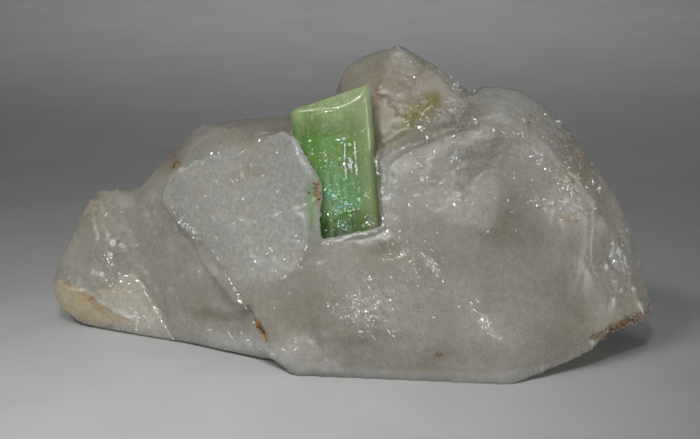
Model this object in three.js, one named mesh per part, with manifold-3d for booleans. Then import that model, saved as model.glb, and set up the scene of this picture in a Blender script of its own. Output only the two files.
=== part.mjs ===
// Green tourmaline crystal in a broken block of quartz.
//
// Two pieces, in millimetres, +Z up, +X along the block, -Y towards its best face:
//   quartz      the whole block of quartz, with the socket that it grew round the crystal
//   tourmaline  one ribbed prism, standing in that socket, with its front face and broken top bare
//
// The origin is the middle of the underside, on the surface that the block rests on.
// The block is a union of lumps, each the convex hull of its corners. A wedge is cut off it where it split
// flat, and round conchoidal scars are knocked out of it, as quartz breaks. The socket comes last.

import * as THREE from "three";
import { ConvexGeometry } from "three/addons/geometries/ConvexGeometry.js";
import { mergeVertices } from "three/addons/utils/BufferGeometryUtils.js";
import Module from "manifold-3d";

// ---- Driving dimensions ----

const CRYSTAL = {
  width: 12.6,
  depth: 9.6,
  length: 24.3, // along the taller side of its slanted top
  topSlant: 14, // degrees, the broken top falling towards -X
  foot: [-0.9, -13.4, 21.4], // the middle of the front face, at its lower end
  leanBack: 14, // degrees, its top going away from the front
  leanLeft: 5, // degrees, its top going towards -X
};
// The prism's bulging three-sided cross-section, with its ribs, as [across, into the quartz].
const SECTION = [
  [-6.3, 2.4], [-5.5, 1.1], [-4.6, 0.9], [-3.3, 0.2], [-1.6, 0], [-1.3, 0.35], [0.4, 0.25], [0.7, 0],
  [3.1, 0.1], [3.4, 0.4], [5.2, 0.6], [6, 1.5], [6.3, 3], [5.9, 4.9], [5.1, 5.5], [4.4, 7.2], [3.1, 8.1],
  [2.2, 9.2], [0.4, 9.6], [-1.5, 9.3], [-2.6, 8.2], [-4.2, 7], [-5, 5.4], [-6, 4.4],
];
// What shows of the prism's front face, in its own plane: [across, up], from the middle of its lower end.
const WINDOW = [
  [-3.6, 0.2], [6.7, 1.6], [7.4, 30], [-8, 30], [-6.8, 20.6], [-5.2, 14.3], [-2.4, 9.4], [-2.6, 6.8],
  [-3.6, 3.4],
];
const WINDOW_DEPTH = 13.6; // of the opening in front of the prism, which reaches out of the block
const WINDOW_START = 1; // how far behind the prism's front face that opening starts
const SOCKET_GAP = 0.3; // clearance between the crystal and the quartz round it
const SPARE = 6; // how far the uncut prism runs past the broken top
const SCAR_FACETS = 40; // round the sphere that a conchoidal scar is cut with
const FAR = 200; // well outside the block
const WELD = 1e-4; // corners closer than this are one corner

// The thin end lies further back and lower than the rest, and is a little larger than its corners below say.
// This starts at one x, is full at the other, and fades out between two depths at the back of the block.
const SET_BACK = { from: -12, full: -40, back: 9.5, down: 3, grow: 0.0245, fadeFrom: 12, fadeTo: 22 };
const LEFT_TIP = -50; // nothing reaches further along -X

// Corners of each lump, [x, y, z], before the thin end is set back.
const LUMPS = {
  leftEnd: [
    [-50, 4, 8], [-48.5, 5, 11.5], [-46, 7, 18.5], [-43, 9, 24], [-36, 10, 24.4], [-36, 2.6, 23.4],
    [-47.5, 0, 5.5], [-45, -1, 3.5], [-42, -2, 3], [-29.5, -6, 2], [-37, -0.4, 14], [-45, 17, 9],
    [-43, 18, 4], [-40, 20, 16], [-30, 22, 21], [-14, 22, 22], [-10, 22, 6], [-30, 20, 2],
    [-40, 12, 0.5], [-20, 12, 0], [-20, -4, 12], [-20, 4, 22],
  ],
  shoulder: [
    [-30, 10, 29.5], [-25.5, 12, 34.5], [-15, 12, 35.5], [-10, 8, 37], [-28.5, 1, 30.5], [-36, 6, 24],
    [-36, 1.8, 22], [-31, 0, 24.8], [-27, -3.2, 20], [-23, -6.6, 14], [-17.5, -10.8, 7], [-29.5, -5.6, 2],
    [-36.6, 0.4, 14], [-22.5, -8, 1.4], [-11.2, -12.4, 0.5], [-10.5, -6, 37], [-31, 19, 21],
    [-18, 22, 28], [-8, 24, 20], [-8, 22, 4], [-28, 20, 3], [-24, 10, 0], [0, 14, 34], [0, 0, 30],
    [2, 22, 22], [-9, -13, 16], [-4, -14, 26],
  ],
  brightPlate: [
    [-31, -0.2, 26], [-27, -4.4, 20.5], [-23, -8, 14.5], [-18.5, -11.6, 9], [-14, -14.6, 13.4],
    [-8.5, -16, 17], [-4, -16, 24], [-3, -14.8, 30], [-8, -10.8, 37], [-10.5, -7.5, 38.2], [-20, -4, 35],
    [-28, -1.6, 30.6], [-19.5, -10.2, 22], [-22, 2, 30], [-22, -2, 18], [-8, -6, 14], [0, -6, 30], [-10, 2, 34],
    [-12.5, -13.4, 9.5], [-7, -15, 14.5],
  ],
  body: [
    [-9, -18, 0], [5, -18.5, 0], [14.5, -20, 0], [26, -22.5, 0], [34.5, -17.5, 1.5], [0, -19.8, 9],
    [20, -23, 8], [12, -14.5, 29], [23.5, -18.5, 24], [5.5, -12.2, 34.5], [34.5, -18, 8], [39, -14, 18],
    [39.5, -9, 27], [32, -9, 35.5], [24.5, -8, 41], [19, 3, 42], [23, 2, 43.5], [28, 1, 43],
    [32, 2, 40.5], [36, 3, 35.5], [42, 3, 28.7], [43.2, 4, 26.6], [46, 4, 21.5], [47.5, 4, 17.5],
    [49.5, 2, 11], [50.6, 1, 7.8], [51, 0, 5.6], [49.7, -6, 5.2], [42, -13, 5.2], [20, 21, 33],
    [34, 18, 28], [41, 15, 16], [44, 13, 8], [32, 20, 4], [10, 24, 6], [-2, 24, 20], [16, 24, 24],
    [20, 14, 0], [-8, 18, 0], [38, 4, 1.2], [-6, -15.5, 20.5], [-15, -14.3, 12], [-16, -12.5, 4], [0, 12, 34],
  ],
  peak: [
    [-1.5, 6, 43.5], [-0.5, 7, 45.5], [3, 7, 47.5], [8, 4, 49.8], [9, 6, 49.4], [12.4, 6, 47.4],
    [16.6, 5, 44.6], [20, 4, 42], [4, -2.5, 42], [6, -8, 36], [16, -9, 36], [-2, 14, 37], [9, 17, 40],
    [20, 16, 36], [-2, 5, 30], [24, -6, 38], [14, 22, 26], [-8, 20, 22], [3, -8, 28], [28, 6, 34],
  ],
};

// The wedge that split off above the left end, as the corners of what is taken away.
const LEFT_LEDGE = [
  [-47, -20, 21.6], [-36.8, -20, 22.1], [-24.9, -20, 34.4], [-47, -20, 43],
  [-47, 40, 21.6], [-36.8, 40, 22.1], [-24.9, 40, 34.4], [-47, 40, 43],
];

// Round scars: the side that the blow came from, where it fell on that side, and how wide and deep it bit.
// The front and back are placed by [x, z], and the underside by [x, y].
// A stretch above 1 makes the scar that much longer than it is wide, along the block.
const SCARS = [
  { side: "front", at: [17, 31], across: 22, deep: 1.3, stretch: 1.2 },
  { side: "front", at: [46, 13], across: 22, deep: 1.3, stretch: 1 },
  { side: "underside", at: [42, -10], across: 13, deep: 1, stretch: 1 },
  { side: "back", at: [-36, 11], across: 24, deep: 1.6, stretch: 1.2 },
  { side: "back", at: [-14, 12], across: 26, deep: 2.2, stretch: 1.5 },
  { side: "back", at: [14, 10], across: 28, deep: 2.4, stretch: 1.4 },
  { side: "back", at: [38, 14], across: 26, deep: 2, stretch: 1 },
  { side: "back", at: [26, 30], across: 24, deep: 1.8, stretch: 1.3 },
  { side: "back", at: [2, 29], across: 22, deep: 1.8, stretch: 1.4 },
  { side: "back", at: [-22, 27], across: 18, deep: 1.4, stretch: 1.3 },
];

const wasm = await Module();
wasm.setup();

// A closed three.js geometry as a manifold-3d solid.
function solidOf(geometry) {
  const bare = geometry.clone();
  bare.deleteAttribute("normal");
  bare.deleteAttribute("uv");
  const merged = mergeVertices(bare, WELD);
  return new wasm.Manifold(new wasm.Mesh({
    numProp: 3,
    vertProperties: merged.attributes.position.array,
    triVerts: new Uint32Array(merged.index.array),
  }));
}

// A manifold-3d solid as a flat-faced three.js geometry.
function geometryOf(solid) {
  const mesh = solid.getMesh();
  const indexed = new THREE.BufferGeometry();
  indexed.setAttribute("position", new THREE.BufferAttribute(mesh.vertProperties, 3));
  indexed.setIndex(new THREE.BufferAttribute(mesh.triVerts, 1));
  const flat = indexed.toNonIndexed();
  flat.computeVertexNormals();
  return flat;
}

function hullOf(corners) {
  return solidOf(new ConvexGeometry(corners.map((corner) => new THREE.Vector3(...corner))));
}

// ---- Quartz ----

function setBack([x, y, z]) {
  const { from, full, back, down, grow, fadeFrom, fadeTo } = SET_BACK;
  const share = THREE.MathUtils.clamp((from - x) / (from - full), 0, 1);
  const fade = THREE.MathUtils.clamp((fadeTo - y) / (fadeTo - fadeFrom), 0, 1);
  const scale = 1 + grow * share;
  return [
    Math.max(LEFT_TIP, x * scale),
    y + back * share * fade,
    Math.max(0, z * scale - down * share * fade),
  ];
}

// Where a blow from each side starts, and the way that it heads.
const BLOWS = {
  front: ([x, z]) => [new THREE.Vector3(x, -FAR, z), new THREE.Vector3(0, 1, 0)],
  back: ([x, z]) => [new THREE.Vector3(x, FAR, z), new THREE.Vector3(0, -1, 0)],
  underside: ([x, y]) => [new THREE.Vector3(x, y, -FAR), new THREE.Vector3(0, 0, 1)],
};

// The sphere that bites a scar of this width and depth where the blow meets the rock.
function scarSolid(rock, { side, at, across, deep, stretch }) {
  const [from, heading] = BLOWS[side](at);
  const hit = new THREE.Raycaster(from, heading).intersectObject(rock)[0];
  const reach = across / 2;
  const radius = (reach * reach + deep * deep) / (2 * deep);
  const sphere = new THREE.SphereGeometry(radius, SCAR_FACETS, SCAR_FACETS / 2);
  sphere.scale(stretch, 1, 1);
  const middle = hit.point.clone().addScaledVector(hit.face.normal, radius - deep);
  sphere.translate(middle.x, middle.y, middle.z);
  return solidOf(sphere);
}

function quartzBlock() {
  const lumps = Object.values(LUMPS).map((corners) => hullOf(corners.map(setBack)));
  let block = lumps.reduce((joined, lump) => joined.add(lump)).subtract(hullOf(LEFT_LEDGE));
  const rock = new THREE.Mesh(geometryOf(block));
  for (const scar of SCARS) {
    block = block.subtract(scarSolid(rock, scar));
  }
  return block;
}

// ---- Tourmaline ----

// The prism, grown by a margin all round: x runs across its front face, z up it, and y into the quartz.
function prismSolid(margin) {
  const widen = (CRYSTAL.width + 2 * margin) / CRYSTAL.width;
  const deepen = (CRYSTAL.depth + 2 * margin) / CRYSTAL.depth;
  const section = new THREE.Shape(SECTION.map(([across, into]) => new THREE.Vector2(
    across * widen,
    into * deepen - margin,
  )));
  const prism = new THREE.ExtrudeGeometry(section, {
    depth: CRYSTAL.length + SPARE + margin,
    bevelEnabled: false,
  });
  prism.translate(0, 0, -margin);
  return solidOf(prism);
}

function tourmalineCrystal() {
  const above = new THREE.BoxGeometry(FAR, FAR, FAR);
  above.translate(0, 0, FAR / 2);
  above.rotateY(THREE.MathUtils.degToRad(-CRYSTAL.topSlant));
  above.translate(CRYSTAL.width / 2, 0, CRYSTAL.length);
  return prismSolid(0).subtract(solidOf(above));
}

const crystalPlace = new THREE.Object3D();
crystalPlace.position.set(...CRYSTAL.foot);
crystalPlace.rotation.set(
  THREE.MathUtils.degToRad(-CRYSTAL.leanBack),
  THREE.MathUtils.degToRad(-CRYSTAL.leanLeft),
  0,
);
crystalPlace.updateMatrixWorld(true);

function windowSolid() {
  const outline = new THREE.Shape(WINDOW.map(([across, up]) => new THREE.Vector2(across, up)));
  const opening = new THREE.ExtrudeGeometry(outline, { depth: WINDOW_DEPTH, bevelEnabled: false });
  opening.rotateX(Math.PI / 2); // the outline's up becomes +Z, and its depth goes out of the front, along -Y
  opening.translate(0, WINDOW_START, 0);
  return solidOf(opening);
}

// ---- The part ----

const place = [...crystalPlace.matrixWorld.elements];
const socket = prismSolid(SOCKET_GAP).add(windowSolid()).transform(place);

const part = new THREE.Group();
const quartz = new THREE.Mesh(
  geometryOf(quartzBlock().subtract(socket)),
  new THREE.MeshStandardMaterial({ color: 0xb9b7ad, roughness: 0.25, metalness: 0 }),
);
quartz.name = "quartz";
part.add(quartz);

const tourmaline = new THREE.Mesh(
  geometryOf(tourmalineCrystal()),
  new THREE.MeshStandardMaterial({ color: 0x6f9a55, roughness: 0.15, metalness: 0 }),
);
tourmaline.name = "tourmaline";
tourmaline.position.copy(crystalPlace.position);
tourmaline.rotation.copy(crystalPlace.rotation);
part.add(tourmaline);

// The origin goes to the middle of the box round the block, at its foot.
const box = new THREE.Box3().setFromObject(part);
const middle = box.getCenter(new THREE.Vector3());
part.position.set(-middle.x, -middle.y, -box.min.z);

export default part;
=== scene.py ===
import math

import bmesh
import bpy
import numpy as np
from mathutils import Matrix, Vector, noise
from mathutils.bvhtree import BVHTree


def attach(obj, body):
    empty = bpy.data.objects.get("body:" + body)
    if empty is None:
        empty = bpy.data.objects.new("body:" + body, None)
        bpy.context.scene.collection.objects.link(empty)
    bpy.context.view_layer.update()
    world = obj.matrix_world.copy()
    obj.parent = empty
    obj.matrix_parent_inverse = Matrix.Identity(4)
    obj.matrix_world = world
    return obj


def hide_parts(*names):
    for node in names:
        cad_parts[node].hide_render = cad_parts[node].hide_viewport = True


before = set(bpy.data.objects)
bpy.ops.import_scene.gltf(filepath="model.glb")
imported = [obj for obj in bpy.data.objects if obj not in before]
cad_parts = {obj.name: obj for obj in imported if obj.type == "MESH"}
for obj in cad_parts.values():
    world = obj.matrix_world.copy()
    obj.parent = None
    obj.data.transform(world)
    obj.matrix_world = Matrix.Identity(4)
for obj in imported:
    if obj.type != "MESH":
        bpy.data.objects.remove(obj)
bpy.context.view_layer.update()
mm = 0.001  # lengths below are in millimetres, and Blender's are in metres
rng = np.random.default_rng(7)
noise.seed_set(7)


# Colours, nodes and meshes

def linearColour(hexCode):
    channels = [int(hexCode[i:i + 2], 16) / 255 for i in (1, 3, 5)]
    return [c / 12.92 if c <= 0.04045 else ((c + 0.055) / 1.055) ** 2.4 for c in channels] + [1.0]


def newMaterial(name):
    material = bpy.data.materials.new(name)
    material.use_nodes = True
    material.node_tree.nodes.clear()
    return material


# Adds one node with its settings. Each input is a value, a hex colour, or the socket that feeds it.
def addNode(tree, kind, settings=None, inputs=None):
    node = tree.nodes.new(kind)
    for key, value in (settings or {}).items():
        setattr(node, key, value)
    for key, value in (inputs or {}).items():
        if isinstance(value, bpy.types.NodeSocket):
            tree.links.new(value, node.inputs[key])
        elif isinstance(value, str):
            node.inputs[key].default_value = linearColour(value)
        else:
            node.inputs[key].default_value = value
    return node


def setRamp(node, stops):
    elements = node.color_ramp.elements
    while len(elements) < len(stops):
        elements.new(0.5)
    for element, (position, hexCode) in zip(elements, stops):
        element.position = position
        element.color = linearColour(hexCode)
    return node.outputs["Color"]


def showPiece(name, mesh, material):
    piece = bpy.data.objects.new(name, mesh)
    bpy.context.scene.collection.objects.link(piece)
    mesh.materials.clear()
    mesh.materials.append(material)
    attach(piece, "root")
    return piece


# A form's even, fine-faced copy.
def remeshed(form, voxel):
    rough = bpy.data.meshes.new("rough")
    form.to_mesh(rough)
    form.free()
    holder = bpy.data.objects.new("holder", rough)
    bpy.context.scene.collection.objects.link(holder)
    remesh = holder.modifiers.new("Remesh", "REMESH")
    remesh.mode = "VOXEL"
    remesh.voxel_size = voxel * mm
    fine = bpy.data.meshes.new_from_object(holder.evaluated_get(bpy.context.evaluated_depsgraph_get()))
    bpy.data.objects.remove(holder)
    return fine


def formOf(nodeName):
    form = bmesh.new()
    form.from_mesh(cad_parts[nodeName].data)
    bmesh.ops.remove_doubles(form, verts=form.verts, dist=0.002 * mm)
    return form


def pointsOf(mesh):
    flat = np.empty(len(mesh.vertices) * 3, np.float32)
    mesh.vertices.foreach_get("co", flat)
    return flat.reshape(-1, 3).astype(float) / mm


def normalsOf(mesh):
    flat = np.empty(len(mesh.vertices) * 3, np.float32)
    mesh.vertex_normals.foreach_get("vector", flat)
    return flat.reshape(-1, 3).astype(float)


def setPoints(mesh, points):
    mesh.vertices.foreach_set("co", (points * mm).astype(np.float32).ravel())
    mesh.update()


def smoothedPoints(mesh, passes):
    form = bmesh.new()
    form.from_mesh(mesh)
    for _ in range(passes):
        bmesh.ops.smooth_vert(form, verts=form.verts, factor=0.5,
                              use_axis_x=True, use_axis_y=True, use_axis_z=True)
    smoothed = np.array([vert.co for vert in form.verts]) / mm
    form.free()
    return smoothed


def storeValues(mesh, name, values):
    attribute = mesh.attributes.new(name, "FLOAT", "POINT")
    attribute.data.foreach_set("value", values.astype(np.float32))


# Shapes drawn on the front, as [across, up]

def distanceTo(line, across, up):
    nearest = np.full(len(across), 1e9)
    for (ax, az), (bx, bz) in zip(line, line[1:]):
        ex, ez = bx - ax, bz - az
        share = np.clip(((across - ax) * ex + (up - az) * ez) / (ex * ex + ez * ez), 0, 1)
        nearest = np.minimum(nearest, np.hypot(across - ax - share * ex, up - az - share * ez))
    return nearest


# How far inside a closed outline each point lies, negative outside.
def insideBy(outline, across, up):
    crossings = np.zeros(len(across), int)
    closed = outline + outline[:1]
    for (ax, az), (bx, bz) in zip(closed, closed[1:]):
        spans = (az > up) != (bz > up)
        reach = ax + (up - az) * (bx - ax) / (bz - az if bz != az else 1)
        crossings += spans & (across < reach)
    return np.where(crossings % 2 == 1, 1, -1) * distanceTo(closed, across, up)


# The thin end is set back, down and a little larger, by a share that grows along the block. The shapes
# below are drawn as if it weren't.
setBack = {"from": -12.5, "full": -40.5, "down": 3, "grow": 0.0245}


def shareAt(across):
    return np.clip((setBack["from"] - across) / (setBack["from"] - setBack["full"]), 0, 1)


def drawnFrom(points):
    share = shareAt(points[:, 0])
    scale = 1 + setBack["grow"] * share
    return points[:, 0] / scale, (points[:, 2] + setBack["down"] * share) / scale


def placedFrom(across, up):
    share = shareAt(across)
    scale = 1 + setBack["grow"] * share
    return across * scale, up * scale - setBack["down"] * share


# Offsets from a spot, along its own length and across it.
def offsetsFrom(middle, turn, across, up):
    cosTurn, sinTurn = math.cos(math.radians(turn)), math.sin(math.radians(turn))
    dx, dz = across - middle[0], up - middle[1]
    return dx * cosTurn + dz * sinTurn, dz * cosTurn - dx * sinTurn


# How strongly any of the spots shows at each point. A spot is [across, up, reach along it, reach across it,
# its turn in degrees, how much].
def spotsAt(spots, across, up):
    strongest = np.zeros(len(across))
    for x, z, reachAlong, reachAcross, turn, amount in spots:
        alongSpot, acrossSpot = offsetsFrom((x, z), turn, across, up)
        away = (alongSpot / reachAlong) ** 2 + (acrossSpot / reachAcross) ** 2
        strongest = np.maximum(strongest, amount * np.exp(-away))
    return strongest


def smoothStep(low, high, values):
    t = np.clip((values - low) / (high - low), 0, 1)
    return t * t * (3 - 2 * t)


# Uneven waves of this size. A number added to all the points gives other waves.
def fractalAt(points, size, octaves=4):
    return np.array([noise.fractal(Vector(point / size), 1.0, 2.0, octaves) for point in points])


# Flat facets, each leaning its own way, as rough quartz breaks.
def facetsAt(points, size):
    lift = np.empty(len(points))
    for i, point in enumerate(points):
        seat = noise.voronoi(Vector(point / size))[1][0]
        lift[i] = (Vector(point / size) - seat).dot(noise.cell_vector(seat)) * size
    return lift


# Quartz

quartzForm = {
    "voxel": 0.46,
    "softening": 2, "rounding": 200,  # smoothing passes, everywhere and on the rounded front
    "roundAcross": (-4, 4), "roundUp": (42, 38), "roundFacing": (-0.5, -0.85),  # where it starts, is full
    "offCrystal": (0.5, 2.5), "offFloor": (0.2, 1.0),  # nothing is softened nearer than the first
    "edgePasses": 14, "edgeProud": 0.25,  # a sharp edge stands this far off what those passes leave
    "swellSize": 9.0, "swellLift": 0.3,  # slow waves of the clean breaks
    "breakSize": 8.0, "breakLift": 0.045, "breakWarp": 1.6,  # flat breaks, with a step where two meet
    "chipSize": 3.2, "chipLean": 0.06,
    "grainSize": 2.2, "grainLift": 0.1,
    "facetSize": 1.1, "facetLift": 0.3,  # rough breaks
    "chipLift": 0.22,  # worn from the sharp edges
    "plateLift": 0.35, "ledgeLift": -0.7,
    "tipLonger": 1.2, "tipAcross": (-42, -50), "tipUp": 9.5, "tipReach": 5,  # the point at the far left
}

# Rough places on the front, [across, up, reach across, reach up, how rough].
roughSpots = [
    [-40, 15, 3, 4, 0.6], [-27, 21.5, 5, 3, 0.8], [14, 40, 8, 3, 0.9], [17, 33, 6, 5, 0.35],
    [5, 29, 3, 8, 0.6], [26, 37, 5, 5, 0.6], [35, 29, 5, 6, 0.8], [3, 12, 6, 4, 0.5], [44, 16, 4, 8, 0.9],
    [8, 46, 9, 5, 0.4], [44, 4, 10, 3, 1],
]

plateOutline = [
    (-31, 24.5), (-30.5, 27.3), (-29, 29.7), (-24.7, 32.1), (-20.5, 34.4), (-17.2, 34.9), (-14.7, 36.6),
    (-12.3, 37), (-10.2, 38), (-8.7, 37), (-6.9, 34.2), (-5.3, 30.6), (-6.9, 30), (-7.2, 25.8), (-6.6, 22.6),
    (-8.2, 19.5), (-8.8, 17.6), (-10.6, 15.6), (-12.6, 14.4), (-15, 15.2), (-17.5, 13.6), (-19.5, 14.6),
    (-21.4, 17), (-23.8, 19.2), (-26.4, 20.4), (-29, 21.6),
]
creamOutline = [
    (-42.5, 9.6), (-39.6, 9.8), (-38.5, 12), (-36, 12.2), (-34.6, 10.6), (-32.9, 7.6), (-31, 4.6),
    (-29.2, 2), (-33, 0.5), (-37, 1.5), (-39.5, 3), (-38.5, 6), (-41, 7.5),
]
orangeOutline = [
    (-50.5, 8), (-48, 9.9), (-46.2, 9.8), (-42.7, 7.8), (-39.2, 5.9), (-36.2, 5.2), (-36.8, 4.2), (-39, 4.6),
    (-41, 3.6), (-43, 2.8), (-46.5, 2.2), (-48.5, 4.6),
]
# The yellowish strip right of the crystal's top is a painted reflection of the crystal's colour in the
# quartz.
crystalReflectionOutline = [
    (4.2, 37), (5, 40), (8, 41), (12, 43), (14, 43.6), (14.8, 42), (14, 40.6), (10.5, 38.4), (7, 36.6),
    (4.4, 35.5),
]
ledgeOutline = [
    (41, 31.5), (42.2, 29), (43.9, 26.5), (45.6, 21.8), (46.8, 16.2), (46.2, 12.9), (44.4, 10.4), (42.6, 7),
    (40.3, 4.2), (38, 1), (54, 1), (54, 31.5),
]

# Where the quartz is milkier or clearer than the rest, and where painted light and shade are laid on it,
# [across, up, reach across, reach up, how milky].
# Painted highlights lift the shade beside the crystal's right edge, on the peak and along the lower edge;
# painted shade dims the lit lip under the crystal, a lit bulge on the right and the crease of a fold.
milkyAndPaintedLightSpots = [
    [-14, 16, 8, 4, 0.5], [-17, 2.6, 7, 2.2, 1.2], [-9.5, 4.8, 3, 2, 0.4], [-24, 15.6, 2.4, 3, 0.5],
    [9, 20, 7, 5, 0.2], [2.7, 11.4, 6, 4, 0.15], [21, 10, 4, 4, 0.4], [5, 45, 9, 5, 0.35],
    [15, 44, 4, 3, 0.8], [28, 36, 7, 5, 0.7], [44, 8, 6, 7, 0.6], [34, 27, 4, 5, 0.6], [44, 16, 5, 8, 0.5],
    [43, 5, 6, 3, 0.5], [16.5, 33, 4, 4, 0.3], [0, 6.5, 3.5, 1.5, -0.8], [30, 16, 8, 7, -0.35],
    [20, 35, 6, 4, -1], [26, 24, 7, 5, -0.35], [-27, 9, 5, 6, -0.2], [36, 18, 2, 5, -0.4],
    [-16, 35.5, 7, 2, -0.3], [13, 26, 5, 3, -0.2], [-4, 1.5, 5, 2, 0.25], [9, 0.8, 9, 2, 0.6],
    [22, 1.6, 6, 2.4, 0.5], [-22, 35, 9, 3, 0.7], [-43, 22, 5, 3, 0.2], [-22, 7.2, 5, 0.9, -0.9],
    [-6.4, 27.5, 1.2, 4, 0.8], [35.4, 27, 4, 1.6, 0.7], [24, 42, 6, 3, 0.7], [16, 43.5, 4, 2, 0.8],
    [2, 43, 4, 3, 0.5], [4.2, 21.3, 3.6, 1, -1.3], [21.5, 27.5, 3.5, 4, -0.6], [10, 49, 5, 2, 0.8],
    [43, 24, 4, 7, 0.6], [-12, 1, 8, 1.5, 0.1], [18, 2, 10, 2, 0.4], [37, 18, 0.7, 2.4, -0.8],
    [5.8, 30, 1.6, 6, 0.9], [46.5, 21, 1, 6, 0.5], [9, 44, 4, 3, -0.4], [13, 20, 6, 3, -0.2],
    [-7.5, 11, 5, 6, -0.4],
]

# Folds where one break meets the next, as lines with how deep and wide they are.
folds = [
    {"line": [(40.2, 22), (39, 19.8), (37.6, 18.2), (36.8, 15.5), (35.2, 12.5)], "lift": -0.07,
     "width": 0.5},
    {"line": [(41, 29), (41.6, 27), (40.4, 25)], "lift": -0.4, "width": 0.8},
    {"line": [(4, 36), (7, 37), (10, 39), (13.5, 41), (17.5, 43)], "lift": -0.35, "width": 0.9},
    {"line": [(11.5, 31.8), (16.5, 29), (20.5, 26.5)], "lift": 0.05, "width": 0.6},
    {"line": [(-27.5, 18.6), (-24, 15.7), (-21.3, 13.2), (-18.4, 10.5)], "lift": 0.5, "width": 1.0},
    {"line": [(-36.2, 12), (-33, 7.6), (-29.2, 2)], "lift": 0.25, "width": 0.5},
    {"line": [(-48, 9.9), (-42.7, 7.8), (-39.2, 5.9), (-36.2, 5.2)], "lift": 0.3, "width": 0.5},
    {"line": [(24, 40), (28, 37), (32, 34), (36, 30)], "lift": 0.35, "width": 1.0},
    {"line": [(-9, 7), (-4, 8.5), (3, 8), (9, 6.5)], "lift": -0.3, "width": 1.2},
]

quartzMesh = remeshed(formOf("quartz"), quartzForm["voxel"])
packed = pointsOf(quartzMesh)
prismTree = BVHTree.FromBMesh(formOf("tourmaline"))
offCrystal = np.array([prismTree.find_nearest(Vector(point * mm))[3] for point in packed]) / mm
evenly = smoothedPoints(quartzMesh, quartzForm["softening"])
broadly = smoothedPoints(quartzMesh, quartzForm["rounding"])
rounding = smoothStep(*quartzForm["roundAcross"], packed[:, 0])
rounding *= smoothStep(*quartzForm["roundFacing"], normalsOf(quartzMesh)[:, 1])
rounding *= smoothStep(*quartzForm["roundUp"], packed[:, 2])
softened = evenly + (broadly - evenly) * rounding[:, None]
free = smoothStep(*quartzForm["offCrystal"], offCrystal) * smoothStep(*quartzForm["offFloor"], packed[:, 2])
surface = packed + (softened - packed) * free[:, None]
setPoints(quartzMesh, surface)
facing = normalsOf(quartzMesh)
rounded = smoothedPoints(quartzMesh, quartzForm["edgePasses"])
sharpness = np.clip(((surface - rounded) * facing).sum(1) / quartzForm["edgeProud"], 0, 1)
print("quartz has", len(surface), "points and", len(quartzMesh.polygons), "faces")

across, up = drawnFrom(surface)
front = smoothStep(0.1, -0.25, facing[:, 1])
rough = np.zeros(len(surface))
for x, z, reachX, reachZ, strength in roughSpots:
    away = np.hypot((across - x) / reachX, (up - z) / reachZ)
    rough = np.maximum(rough, strength * smoothStep(1.3, 0.5, away))
rough = rough * front + (1 - front) * 0.4

masks = {}
for name, outline in (("plate", plateOutline), ("cream", creamOutline), ("orange", orangeOutline),
                      ("crystalReflection", crystalReflectionOutline), ("ledge", ledgeOutline)):
    masks[name] = np.where(front > 0.3, insideBy(outline, across, up), -9)

swell = fractalAt(surface, quartzForm["swellSize"], 3)
grain = fractalAt(surface + 40, quartzForm["grainSize"])
facets = facetsAt(surface, quartzForm["facetSize"])
warp = np.stack([grain, np.roll(grain, 1), swell], axis=1) * quartzForm["breakWarp"]
breaks = facetsAt(surface + warp, quartzForm["breakSize"])
smallBreaks = facetsAt(surface + warp * 0.4, quartzForm["chipSize"])
bare = 1 - 0.85 * rounding  # the rounded front is one clean break
lift = quartzForm["swellLift"] * swell * (1 - 0.6 * rounding)
lift += quartzForm["grainLift"] * grain * (0.2 * bare + rough)
lift += quartzForm["facetLift"] * (facets - facets.mean()) * rough * (1 - 0.5 * rounding)
lift += quartzForm["breakLift"] * (breaks - breaks.mean()) * bare
lift += quartzForm["chipLean"] * (smallBreaks - smallBreaks.mean()) * (0.2 * bare + rough)
lift += quartzForm["ledgeLift"] * smoothStep(-0.3, 0.3, masks["ledge"] + 0.5 * grain)
lift += quartzForm["plateLift"] * smoothStep(-0.25, 0.25, masks["plate"] + 0.8 * grain)
lift -= quartzForm["chipLift"] * sharpness * np.clip(0.4 + 1.2 * swell, 0, 1)
for fold in folds:
    away = distanceTo(fold["line"], across + 0.35 * grain, up + 0.35 * grain)
    lift += fold["lift"] * np.exp(-(away / fold["width"]) ** 2) * front
lift *= (0.12 + 0.88 * smoothStep(0.4, 2.0, offCrystal)) * smoothStep(0.0, 1.2, surface[:, 2])
surface = surface + facing * lift[:, None]
atTip = np.exp(-((up - quartzForm["tipUp"]) / quartzForm["tipReach"]) ** 2)
surface[:, 0] -= quartzForm["tipLonger"] * smoothStep(*quartzForm["tipAcross"], surface[:, 0]) * atTip
setPoints(quartzMesh, surface)
facing = normalsOf(quartzMesh)
across, up = drawnFrom(surface)


# Milkiness, with the painted light and shade of the spots, stored for the base colour.
milkyAndPaintedLight = 0.25 * fractalAt(surface + 15, 5.0, 3)
for x, z, reachX, reachZ, amount in milkyAndPaintedLightSpots:
    milkyAndPaintedLight += amount * front * np.exp(-((across - x) / reachX) ** 2 - ((up - z) / reachZ) ** 2)
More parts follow.
